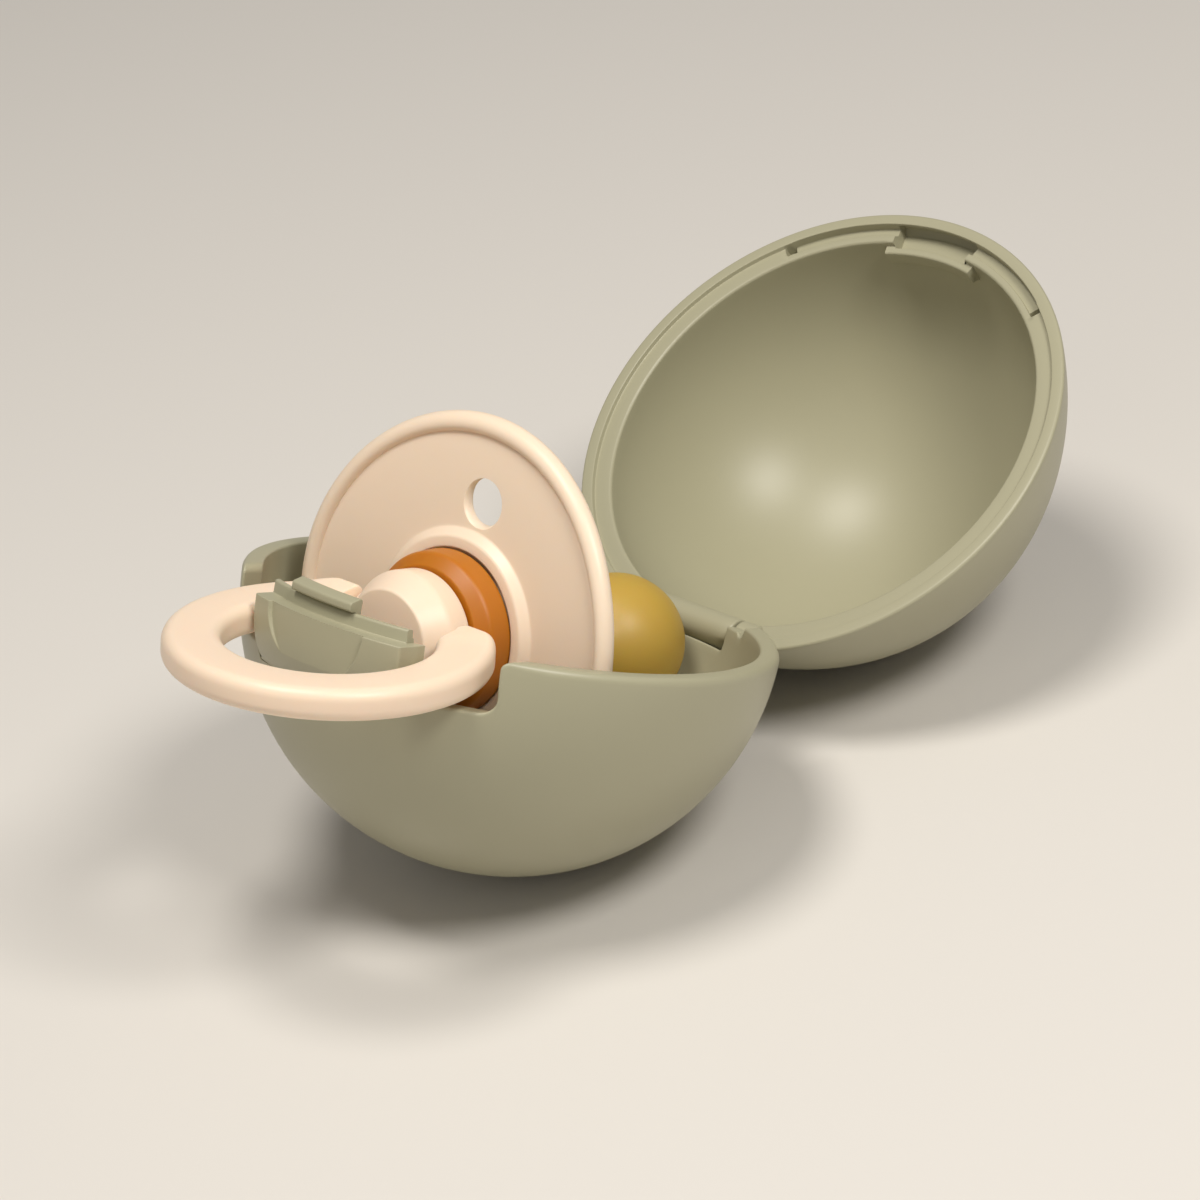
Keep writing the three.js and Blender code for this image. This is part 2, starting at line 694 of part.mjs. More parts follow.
// The ring's outline in its own plane: an open circle whose ends face the knob's sides. It is
// drawn smaller by the edge round, which the bevel adds again.
function ringOutline() {
  const outer = ringOuter - ringRound;
  const inner = ringInner + ringRound;
  const corner = ringTipRound - ringRound;
  const tipX = ringEndX + ringTipRound;
  const tipRise = Math.sqrt((ringOuter - ringTipRound) ** 2 - tipX ** 2);
  const outerAngle = THREE.MathUtils.radToDeg(Math.atan2(tipRise, tipX));
  const innerAngle = THREE.MathUtils.radToDeg(Math.acos((ringEndX + ringRound) / inner));
  const tipY = tipRise - ringReach;
  return [
    ...arc(tipX, tipY, corner, 180, outerAngle, 4),
    ...arc(0, -ringReach, outer, outerAngle, -180 - outerAngle, 34).slice(1),
    ...arc(-tipX, tipY, corner, 180 - outerAngle, 0, 4).slice(1),
    ...arc(0, -ringReach, inner, 180 - innerAngle, 360 + innerAngle, 30),
  ].reverse();
}

function ring() {
  const body = new THREE.ExtrudeGeometry(new THREE.Shape(ringOutline()), {
    depth: ringHeight - 2 * ringRound,
    bevelThickness: ringRound,
    bevelSize: ringRound,
    bevelSegments: 3,
  });
  body.translate(0, 0, ringRound - ringHeight / 2);
  const tip = ringEndX - pivotDepth;
  const root = ringEndX + ringRound;
  return solid(body)
    .add(rod(tip, root, 0, 0, pivotPinRadius))
    .add(rod(-root, -tip, 0, 0, pivotPinRadius));
}

// Assembly

const sage = 0xa9ad8c;
const cream = 0xf0dfc6;
const amber = 0xbf8a35;
const steel = 0xc4c6c8;

const lidSwing = new THREE.Group();
lidSwing.position.set(0, hingeY, hingeZ);
lidSwing.rotation.x = -radians(openAngle);
const lidMesh = named("lid_shell", lidShell(), plastic(sage, 0.5));
lidMesh.position.set(0, -hingeY, -hingeZ);
lidSwing.add(lidMesh);

const ringSwing = new THREE.Group();
ringSwing.position.set(0, -pivotY, pivotZ);
ringSwing.rotation.x = radians(ringTiltAngle);
ringSwing.add(named("pacifier_ring", ring(), plastic(cream, 0.42)));

const pacifier = new THREE.Group();
pacifier.position.set(0, shieldY, shieldZ);
pacifier.rotation.x = radians(shieldTiltAngle);
pacifier.add(
  named("pacifier_shield", shield(), plastic(cream, 0.42)),
  named("pacifier_teat", teat(), plastic(amber, 0.28)),
  named("pacifier_knob", knob(), plastic(cream, 0.42)),
  ringSwing,
);

const pinBody = rod(pinInset - earOuterX, earOuterX - pinInset, hingeY, hingeZ, pinRadius);
const pinMaterial = new THREE.MeshStandardMaterial({
  color: steel,
  roughness: 0.3,
  metalness: 1,
});

const openCase = new THREE.Group();
openCase.add(
  named("lower_shell", lowerShell(), plastic(sage, 0.5)),
  named("latch_tab", latchTab(), plastic(sage, 0.5)),
  named("hinge_pin", pinBody, pinMaterial),
  lidSwing,
  pacifier,
);

// How far the lid's dome hangs below the bowl's lowest point when the case leans back.
function lidBelowBowl(lean) {
  const turn = radians(openAngle + lean);
  const tilt = radians(lean);
  const axisZ = hingeZ * Math.cos(tilt) - hingeY * Math.sin(tilt);
  const armY = -hingeY;
  const armZ = -lidTaper - hingeZ;
  const centreZ = axisZ + armZ * Math.cos(turn) - armY * Math.sin(turn);
  const reach = Math.hypot(lidSpan * Math.sin(turn), lidHeight * Math.cos(turn));
  return -bowlRadius - (centreZ - reach);
}

// The lean at which both halves touch the table, found by halving.
function standingLean() {
  let low = 0;
  let high = 180 - openAngle;
  for (let i = 0; i < 40; i += 1) {
    const middle = (low + high) / 2;
    if (lidBelowBowl(middle) < 0) low = middle;
    else high = middle;
  }
  return low;
}

openCase.rotation.x = -radians(standingLean());

const part = new THREE.Group();
part.add(openCase);
part.updateMatrixWorld(true);
const bounds = new THREE.Box3().setFromObject(part, true);
const middle = bounds.getCenter(new THREE.Vector3());
openCase.position.set(-middle.x, -middle.y, -bounds.min.z);

export default part;
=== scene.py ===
"""Looks of the open pacifier case: smooth pieces over the CAD frame, materials, light, camera."""

import json
import math

import bmesh
import bpy
import numpy as np
from mathutils import Matrix, Vector


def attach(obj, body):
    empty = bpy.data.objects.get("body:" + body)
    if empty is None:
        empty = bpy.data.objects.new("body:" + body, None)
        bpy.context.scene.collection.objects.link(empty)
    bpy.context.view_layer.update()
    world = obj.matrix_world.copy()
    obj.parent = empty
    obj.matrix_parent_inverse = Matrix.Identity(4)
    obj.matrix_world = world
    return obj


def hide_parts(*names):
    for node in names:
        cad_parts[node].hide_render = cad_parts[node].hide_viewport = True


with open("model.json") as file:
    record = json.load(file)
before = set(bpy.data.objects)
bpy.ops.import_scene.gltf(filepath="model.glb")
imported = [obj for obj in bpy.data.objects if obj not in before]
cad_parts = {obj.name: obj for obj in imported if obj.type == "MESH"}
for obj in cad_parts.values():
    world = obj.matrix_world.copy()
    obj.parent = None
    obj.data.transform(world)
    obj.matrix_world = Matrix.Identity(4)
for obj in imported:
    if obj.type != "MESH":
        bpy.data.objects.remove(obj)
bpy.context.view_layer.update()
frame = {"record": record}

# Sizes in millimetres, in the case's own frame: X along the hinge, -Y to the latch, +Z up out of
# the bowl. The bowl's rim lies in z = 0 about the origin. Radii are from the Z axis, and _Z, _TOP
# and _ROOT are heights over the rim.

MM = 0.001
GAP = 0.3  # between pieces that touch

# Bowl
BOWL = 28.0  # outer radius
WALL = 2.15
INNER = BOWL - WALL
RIM_ROUND = 0.9
SLOT_ROUND = 0.5
EDGE_ROUND = 0.3
WINDOW_ROUND = 0.06  # edge of the window along the tab's root
FOOT = 5.2  # radius of the flat at the bottom
SKIRT_Z = -11.0  # below this the bowl is a plain ball
FRONT_HALF = 22.0  # half of the rim's front, which has the ring slots
REAR_HALF = 14.0  # half of the rim's rear, which has the hinge

# Ring slots in the bowl
SLOT_X = 18.0  # outer wall
SLOT_Z = -5.7  # floor
SLOT_FLOOR_ROUND = 1.8
SLOT_LIP_ROUND = 0.9
SLOT_EASE = 3.0  # over this length the rim's edge grows back to its full round

# Latch tab with its rib, hook and thumb recess
TAB_HALF = 10.2
TAB_ROOT = -7.3
TAB_PROUD = 1.2  # at the ledge the tab stands out this far from the bowl
TAB_SIDE_ROUND = 0.25
TAB_EDGE = 0.08
TAB_SEAM = 0.02  # between the tab's root and the window's edge
TAB_BEND_Y = -26.0  # the tab bends about this line
TAB_BEND = math.tan(math.radians(4.5))
LEDGE = -0.55
RIB_OUT = 26.85
RIB_IN = 26.1
RIB_TOP = 0.8
RIB_END = 8.95  # the rib stops short on the right
RIB_ROUND = 0.25
HOOK_HALF = 4.4
HOOK_X = -1.6
HOOK_TOP = 2.4
HOOK_ROUND = 0.32
NOSE_TOP = 1.87
NOSE_UNDER = 0.95
NOSE_OUT = 27.5
THUMB = 6.65  # radius of the recess
THUMB_X = -0.65
THUMB_Z = LEDGE + 0.3
THUMB_DEPTH = 0.42
THUMB_EDGE = 0.2

# Lid: a tapered dome, with an inner ledge behind its rim
LID_RIM = 28.6
LID_EDGE = 28.52  # where the rim's outer edge starts to round
LID_TAPER = 10.0  # the dome's ellipse has its centre this far under the rim plane
LID_SEMI = 36.0  # its height
LID_SPAN = LID_RIM / math.sqrt(1 - (LID_TAPER / LID_SEMI) ** 2)
LID_START = 1.4  # the rim's outline starts at this height
LID_LEDGE = 0.8
RIM_STEP = 27.05
CAVITY = 24.96
CAVITY_TOP = 24.1
CAVITY_BASE = 1.15
CAVITY_START = 4.3
CAVITY_DEPTH = CAVITY_TOP - CAVITY_BASE

# What the front of the lid has over the latch. The angles are from the middle of the front.
LID_TURN = math.radians(2.3)  # all of it is turned by this much towards -X
GROOVE_OUT = 27.1
GROOVE_IN = 25.85
GROOVE_TOP = 1.4
NOTCH_OUT = 27.05
NOTCH_TOP = 2.1
CATCH_TOP = 0.7  # of the edge that the hook's nose catches on
POCKET_OUT = 27.7
POCKET_IN = 24.7
POCKET_TOP = 2.65
BLOCK_IN = 23.95
BLOCK_LOW = 1.5
BLOCK_TOP = 3.5
POCKET_ANGLE = math.degrees(math.asin(5.15 / 26.4))
BLOCK_ANGLE = math.degrees(math.asin(5.9 / 24.6))
FRONT_ANGLE = 38.5
NOTCH_ANGLE = 40.7

# Hinge
HINGE_Y = 26.93
HINGE_Z = -2.25
BARREL = 1.8
KNUCKLE = 8.6  # half of its length
EAR_IN = 8.9
EAR_OUT = 11.2
EAR_TOP = -1.15
EAR_FOOT = 7.2  # the ears' webs end this far under the axis
SEAT_Z = -4.75  # top of the bowl's wall under the barrel
SEAT_RISE = 0.75  # its inner edge is higher: this share of the depth
NICK_DEPTH = 0.45  # of the small nick beside each ear
PIN = 0.6
PIN_HALF = 11.0
TRIM = 29.7  # nothing of the hinge lies further out
OPEN = math.radians(126)

# Pacifier. Its frame has its origin in the middle of the shield's bead, and -Y to the front.
SHIELD_Y = -8.55
SHIELD_Z = -2.4
SHIELD_TILT = math.radians(5.5)
SHIELD_BEND = 2.4
SHIELD_NARROWING = 0.04
SHIELD_BACK = 1.3
SHIELD_BORE = 4.85
BEAD = 21.28  # radius of its middle line
BEAD_ROUND = 1.05
FACE_OUT = 20.3
FACE_IN = 10.9
FACE_RISE = 0.2
FACE_SLOPE = 0.5 / 9.4
HUB = 10.6
HUB_TOP = 9.75
HUB_IN = 8.52
HUB_FRONT = -0.65
REAR_HUB = 6.6
REAR_HUB_BACK = 2.1
VENT = 2.45
VENT_PLACE = 13.73
VENT_ROLL = math.radians(5.5)
VENT_LIP = 0.8
VENT_REAR_LIP = 0.4
COLLAR = 8.5
COLLAR_FRONT = -4.2
COLLAR_FACE = 7.2
NECK = 4.4
NECK_END = 11.0
STEM_HOLE = 2.8
BULB = 7.3
BULB_Y = 25.7
BULB_ANGLE = -40  # degrees, where the neck meets the bulb
DROOP = 4.9
DROOP_START = 2
DROOP_LENGTH = 15
HONEY_START = 2
HONEY_END = 15
KNOB_REAR = 6.95
KNOB_BACK = -4.5
KNOB_SIDE = 7.1
KNOB_SHOULDER = -7.25
KNOB_FACE = 5.5
KNOB_FRONT = -9.97
KNOB_DOME = 0.19
PIVOT_Y = -6.0
PIVOT_Z = 1.5
PAD = 1.5
PIVOT = 0.95

# Ring, in its own plane about the pivots
RING_TILT = math.radians(4.7)
RING_OUT = 16.6
RING_IN = 10.6
RING_REACH = 12.0  # from the pivots to the ring's centre
RING_HEIGHT = 3.4
RING_ROUND = 1.25
RING_END_X = 7.4
RING_END_TOP = 12.6
RING_END_HEIGHT = 4.3
RING_END_RISE = 3.4  # the ends grow to this height over this length before the pivots
RING_END_EDGE = 0.4
RING_TIP = 2.3
RING_SPLAY = 0.15

# Frames of the pieces

joints = {joint["name"]: joint for joint in frame["record"]["behaviour"]["joints"]}
hinge_place = Vector(joints["lid_hinge"]["pos_m"])
up = Vector(joints["pacifier_lift"]["axis"]).normalized()
across = Vector((1, 0, 0))
back = up.cross(across)
turn = Matrix((across, back, up)).transposed().to_4x4()
origin = hinge_place - (turn @ Vector((0, HINGE_Y, HINGE_Z))) * MM
CASE = Matrix.Translation(origin) @ turn @ Matrix.Scale(MM, 4)
HINGE = Matrix.Translation((0, HINGE_Y, HINGE_Z))
LID = CASE @ HINGE @ Matrix.Rotation(-OPEN, 4, "X") @ HINGE.inverted()
SOOTHER = CASE @ Matrix.Translation((0, SHIELD_Y, SHIELD_Z)) @ Matrix.Rotation(
    SHIELD_TILT, 4, "X"
)
RING = SOOTHER @ Matrix.Translation((0, PIVOT_Y, PIVOT_Z)) @ Matrix.Rotation(
    RING_TILT, 4, "X"
)


# Outlines and meshes


def arc(cx, cy, radius, start, end, steps):
    """Points of an arc about (cx, cy), angles in degrees."""
    angles = np.radians(np.linspace(start, end, steps + 1))
    return [(cx + radius * math.cos(a), cy + radius * math.sin(a)) for a in angles]


def smooth(t):
    """A smooth step from 0 to 1."""
    t = min(1, max(0, t))
    return t * t * (3 - 2 * t)


def corner_curve(start, corner, end, steps, weight=0.707):
    """Points of a rounded corner between two points beside it. The weight fits its angle."""
    points = []
    for t in np.linspace(0, 1, steps + 1):
        parts = ((1 - t) ** 2, 2 * t * (1 - t) * weight, t**2)
        total = parts[0] * start + parts[1] * corner + parts[2] * end
        points.append(total / sum(parts))
    return points


def rounded(corners, steps=5):
    """An open outline through corners (x, y, radius), each corner rounded by steps pieces."""
    points = []
    last = len(corners) - 1
    for i, (x, y, radius) in enumerate(corners):
        here = np.array((x, y))
        if i in (0, last) or radius == 0:
            repeats = 1 if i in (0, last) else steps + 1
            points.extend([here] * repeats)
            continue
        before = np.array(corners[i - 1][:2]) - here
        after = np.array(corners[i + 1][:2]) - here
        before_length = np.linalg.norm(before)
        after_length = np.linalg.norm(after)
        if min(before_length, after_length) < 1e-6:
            points.extend([here] * (steps + 1))
            continue
        before, after = before / before_length, after / after_length
        half = math.acos(np.clip(before @ after, -1, 1)) / 2
        reach = min(radius / math.tan(half), 0.49 * before_length, 0.49 * after_length)
        start = here + before * reach
        end = here + after * reach
        points.extend(corner_curve(start, here, end, steps, math.sin(half)))
    return [tuple(p) for p in points]


def evenly(points, step):
    """The same path with points about step apart; its own points are kept."""
    result = [points[0]]
    for a, b in zip(points[:-1], points[1:]):
        count = max(1, math.ceil(math.dist(a, b) / step))
        for i in range(1, count + 1):
            t = i / count
            result.append(tuple(np.array(a) * (1 - t) + np.array(b) * t))
    return result


def add_object(name, verts, faces, matrix, merge=2e-3, sharp=38):
    """A mesh object from points in millimetres, welded, with faces out and smooth shading."""
    mesh = bpy.data.meshes.new(name)
    mesh.from_pydata([tuple(v) for v in verts], [], [tuple(f) for f in faces])
    work = bmesh.new()
    work.from_mesh(mesh)
    bmesh.ops.remove_doubles(work, verts=work.verts, dist=merge)
    bmesh.ops.dissolve_degenerate(work, edges=work.edges, dist=merge / 4)
    bmesh.ops.recalc_face_normals(work, faces=work.faces)
    work.transform(matrix)
    work.to_mesh(mesh)
    work.free()
    mesh.shade_smooth()
    mesh.set_sharp_from_angle(angle=math.radians(sharp))
    made = bpy.data.objects.new(name, mesh)
    bpy.context.scene.collection.objects.link(made)
    return made


def loft(columns, closed=True, caps=False, loop=False):
    """Points and faces of a skin over columns of points. loop closes each column on itself."""
    grid = np.array(columns, float)
    count, size = grid.shape[:2]
    verts = grid.reshape(-1, 3)
    faces = []
    for i in range(count if closed else count - 1):
        j = (i + 1) % count
        for k in range(size if loop else size - 1):
            m = (k + 1) % size
            faces.append((i * size + k, j * size + k, j * size + m, i * size + m))
    if caps:
        faces.append(tuple(range(size)))
        faces.append(tuple(range((count - 1) * size, count * size)))
    return verts, faces


def lathe(name, profile, matrix, segments=144, bend=None):
    """A body turned about its local Y axis from (radius, y) points."""
    columns = []
    for angle in np.linspace(0, 2 * math.pi, segments, endpoint=False):
        columns.append([(r * math.sin(angle), y, r * math.cos(angle)) for r, y in profile])
    verts, faces = loft(columns)
    if bend:
        verts = np.array([bend(v) for v in verts])
    return add_object(name, verts, faces, matrix)


def joined(name, parts):
    """One object from several."""
    bpy.ops.object.select_all(action="DESELECT")
    for part in parts:
        part.select_set(True)
    bpy.context.view_layer.objects.active = parts[0]
    bpy.ops.object.join()
    parts[0].name = name
    return parts[0]


def edged(x0, x1, edge, angles, count):
    """Stations (x, inset) along a body from x0 to x1 whose two end edges are rounded."""
    steps = np.radians(angles)
    ends = [(edge * (1 - math.sin(a)), edge * (1 - math.cos(a))) for a in steps]
    stations = [(x0 + dx, inset) for inset, dx in ends]
    stations += [(x, 0) for x in np.linspace(x0 + edge, x1 - edge, count)[1:-1]]
    stations += [(x1 - dx, inset) for inset, dx in reversed(ends)]
    return stations


def prism(name, outline, x0, x1, matrix, edge=0.2, trim=None):
    """An outline in (y, z) extruded along X, its end edges rounded, trimmed to a ball."""
    centre = np.mean(outline, axis=0)
    path = np.array(outline, float)
    after = np.roll(path, -1, axis=0) - path
    before = path - np.roll(path, 1, axis=0)
    tangent = after / np.maximum(np.linalg.norm(after, axis=1), 1e-9)[:, None]
    tangent += before / np.maximum(np.linalg.norm(before, axis=1), 1e-9)[:, None]
    tangent /= np.maximum(np.linalg.norm(tangent, axis=1), 1e-9)[:, None]
    inward = np.stack([-tangent[:, 1], tangent[:, 0]], axis=1)
    if np.mean(np.sum(inward * (centre - path), axis=1)) < 0:
        inward = -inward
    columns = []
    for x, inset in edged(x0, x1, edge, (0, 22.5, 45, 67.5, 90), 14):
        loop = path + inward * inset
        columns.append([(x, y, z) for y, z in loop])
    verts, faces = loft(columns, closed=False, caps=True, loop=True)
    if trim:
        size = np.linalg.norm(verts, axis=1)
        verts = verts * np.minimum(1, trim / size)[:, None]
    return add_object(name, verts, faces, matrix, merge=1e-3)


# Materials: procedural, in object space


def plastic(name, color, deep, roughness, grain, sss=0.0, sss_color=None):
    """A moulded plastic: an even colour with a faint drift, fine grain and soft sheen."""
    material = bpy.data.materials.new(name)
    material.use_nodes = True
    tree = material.node_tree
    tree.nodes.clear()
    add = tree.nodes.new
    out = add("ShaderNodeOutputMaterial")
    shader = add("ShaderNodeBsdfPrincipled")
    coordinates = add("ShaderNodeTexCoord")
    drift = add("ShaderNodeTexNoise")
    drift.inputs["Scale"].default_value = 38
    drift.inputs["Detail"].default_value = 2
    mix = add("ShaderNodeMix")
    mix.data_type = "RGBA"
    mix.inputs["A"].default_value = (*color, 1)
    mix.inputs["B"].default_value = (*deep, 1)
    fine = add("ShaderNodeTexNoise")
    fine.inputs["Scale"].default_value = 2600
    fine.inputs["Detail"].default_value = 3
    bump = add("ShaderNodeBump")
    bump.inputs["Strength"].default_value = grain
    bump.inputs["Distance"].default_value = 0.00003
    rough = add("ShaderNodeMapRange")
    rough.inputs["To Min"].default_value = roughness - 0.04
    rough.inputs["To Max"].default_value = roughness + 0.05
    link = tree.links.new
    link(coordinates.outputs["Object"], drift.inputs["Vector"])
    link(coordinates.outputs["Object"], fine.inputs["Vector"])
    link(drift.outputs["Fac"], mix.inputs["Factor"])
    link(mix.outputs["Result"], shader.inputs["Base Color"])
    link(drift.outputs["Fac"], rough.inputs["Value"])
    link(rough.outputs["Result"], shader.inputs["Roughness"])
    link(fine.outputs["Fac"], bump.inputs["Height"])
    link(bump.outputs["Normal"], shader.inputs["Normal"])
    if sss:
        shader.inputs["Subsurface Weight"].default_value = sss
        shader.inputs["Subsurface Radius"].default_value = sss_color
        shader.inputs["Subsurface Scale"].default_value = 0.003
    link(shader.outputs["BSDF"], out.inputs["Surface"])
    return material


SAGE = plastic(
    "sage_plastic",
    color=(0.4, 0.38, 0.26),
    deep=(0.375, 0.355, 0.24),
    roughness=0.38,
    grain=0.12,
)
CREAM = plastic(
    "cream_plastic",
    color=(0.9, 0.72, 0.56),
    deep=(0.87, 0.69, 0.53),
    roughness=0.4,
    grain=0.08,
    sss=0.25,
    sss_color=(1.0, 0.7, 0.45),
)
AMBER = plastic(
    "amber_rubber",
    color=(0.48, 0.16, 0.004),
    deep=(0.44, 0.14, 0.003),
    roughness=0.45,
    grain=0.05,
    sss=0.4,
    sss_color=(1.0, 0.45, 0.12),
)


def honey_bulb(material):
    """Turns the collar's orange into a paler olive honey along the teat's axis."""
    tree = material.node_tree
    add, link = tree.nodes.new, tree.links.new
    shader = next(n for n in tree.nodes if n.type == "BSDF_PRINCIPLED")
    coordinates = next(n for n in tree.nodes if n.type == "TEX_COORD")
    orange = shader.inputs["Base Color"].links[0].from_socket
    axis = SOOTHER.to_3x3().col[1].normalized()
    along = add("ShaderNodeVectorMath")
    along.operation = "DOT_PRODUCT"
    along.inputs[1].default_value = axis
    share = add("ShaderNodeMapRange")
    start = SOOTHER.translation.dot(axis)
    share.interpolation_type = "SMOOTHSTEP"
    share.inputs["From Min"].default_value = start + HONEY_START * MM
    share.inputs["From Max"].default_value = start + HONEY_END * MM
    blend = add("ShaderNodeMix")
    blend.data_type = "RGBA"
    blend.inputs["B"].default_value = (0.52, 0.34, 0.06, 1)
    link(coordinates.outputs["Object"], along.inputs[0])
    link(along.outputs["Value"], share.inputs["Value"])
    link(share.outputs["Result"], blend.inputs["Factor"])
    link(orange, blend.inputs["A"])
    link(blend.outputs["Result"], shader.inputs["Base Color"])


honey_bulb(AMBER)


def steel_material():
    """Plain steel with a faint drawn grain."""
    material = bpy.data.materials.new("pin_steel")
    material.use_nodes = True
    tree = material.node_tree
    shader = tree.nodes["Principled BSDF"]
    shader.inputs["Metallic"].default_value = 1
    noise = tree.nodes.new("ShaderNodeTexNoise")
    noise.inputs["Scale"].default_value = 900
    ramp = tree.nodes.new("ShaderNodeMapRange")
    ramp.inputs["To Min"].default_value = 0.25
    ramp.inputs["To Max"].default_value = 0.4
    tint = tree.nodes.new("ShaderNodeMix")
    tint.data_type = "RGBA"
    tint.inputs["A"].default_value = (0.6, 0.6, 0.61, 1)
    tint.inputs["B"].default_value = (0.52, 0.52, 0.53, 1)
    link = tree.links.new
    link(noise.outputs["Fac"], ramp.inputs["Value"])
    link(ramp.outputs["Result"], shader.inputs["Roughness"])
    link(noise.outputs["Fac"], tint.inputs["Factor"])
    link(tint.outputs["Result"], shader.inputs["Base Color"])
    return material


STEEL = steel_material()


def dress(piece, material, body, node):
    """Gives a piece its material and its body, and hides the frame's node that it stands for."""
    piece.data.materials.clear()
    piece.data.materials.append(material)
    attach(piece, body)
    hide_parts(node)


# Bowl: a skin that runs from pole to pole over a rim path with the openings in it


def opening_path(half):
    """A mirrored opening outline in (x, z) from its left end to its right end."""
    left = [(-x, z) for x, z in reversed(half)]
    return left[:-1] + half


def bowl_stations():
    """Stations round the rim. Each has the wall's outer and inner corner, the azimuths at which
    its column reaches the plain ball, and the round of its outer edge."""
    front_half = rounded(
        [
            (0, TAB_ROOT - GAP, 0),
            (TAB_HALF + GAP, TAB_ROOT - GAP, 0.4),
            (TAB_HALF + GAP, SLOT_Z, 0.6),
            (SLOT_X, SLOT_Z, SLOT_FLOOR_ROUND),
            (SLOT_X, 0, SLOT_LIP_ROUND),
            (FRONT_HALF, 0, 0),
        ],
        9,
    )
    rear_half = rounded(
        [
            (0, SEAT_Z, 0),
            (EAR_IN, SEAT_Z, 0.4),
            (EAR_IN, EAR_TOP, 0.35),
            (EAR_OUT, EAR_TOP, 0.35),
            (EAR_OUT + 0.35, EAR_TOP - NICK_DEPTH, 0.3),
            (EAR_OUT + 0.95, EAR_TOP - NICK_DEPTH, 0.3),
            (EAR_OUT + 1.45, 0, 0.6),
            (REAR_HALF, 0, 0),
        ],
        5,
    )
    stations = []

    def add_opening(half, side, round_inside):
        """Stations along an opening. side is -1 in front and 1 at the rear."""
        path = evenly(opening_path(half), 0.32)
        if side > 0:
            path = path[::-1]
        lengths = [0]
        for a, b in zip(path[:-1], path[1:]):
            lengths.append(lengths[-1] + math.dist(a, b))
        outer_end = math.asin(half[-1][0] / BOWL)
        inner_end = math.asin(half[-1][0] / INNER)
        for (x, z), length in zip(path, lengths):
            share = 2 * length / lengths[-1] - 1
            base = 0 if side < 0 else math.pi
            away = min(1, max(0, (abs(x) - SLOT_X - 0.6) / SLOT_EASE)) if side < 0 else 0
            if side < 0 and z < TAB_ROOT + 0.3:
                away = (WINDOW_ROUND - round_inside) / (RIM_ROUND - round_inside)
            low = z if side < 0 else z * SEAT_RISE
            stations.append(
                (
                    (x, side * math.sqrt(BOWL**2 - x * x - z * z), z),
                    (x, side * math.sqrt(INNER**2 - x * x - low * low), low),
                    base + share * outer_end,
                    base + share * inner_end,
                    round_inside + (RIM_ROUND - round_inside) * away,
                )
            )

    add_opening(front_half, -1, SLOT_ROUND)
    outer_gap = (math.asin(FRONT_HALF / BOWL), math.pi - math.asin(REAR_HALF / BOWL))
    inner_gap = (math.asin(FRONT_HALF / INNER), math.pi - math.asin(REAR_HALF / INNER))
    count = 46

    def add_plain(mirror):
        """Stations along the plain rim between the openings, on the right or mirrored."""
        for i in range(1, count):
            t = i / count
            if mirror:
                t = 1 - t
            outer = outer_gap[0] * (1 - t) + outer_gap[1] * t
            inner = inner_gap[0] * (1 - t) + inner_gap[1] * t
            sign = -1 if mirror else 1
            ease = min(1, t * count / 4, (1 - t) * count / 6)
            stations.append(
                (
                    (sign * BOWL * math.sin(outer), -BOWL * math.cos(outer), 0),
                    (sign * INNER * math.sin(inner), -INNER * math.cos(inner), 0),
                    sign * outer if not mirror else 2 * math.pi - outer,
                    sign * inner if not mirror else 2 * math.pi - inner,
                    RIM_ROUND if t < 0.5 else EDGE_ROUND + (RIM_ROUND - EDGE_ROUND) * ease,
                )
            )

    add_plain(False)
    add_opening(rear_half, 1, EDGE_ROUND)
    add_plain(True)
    return stations


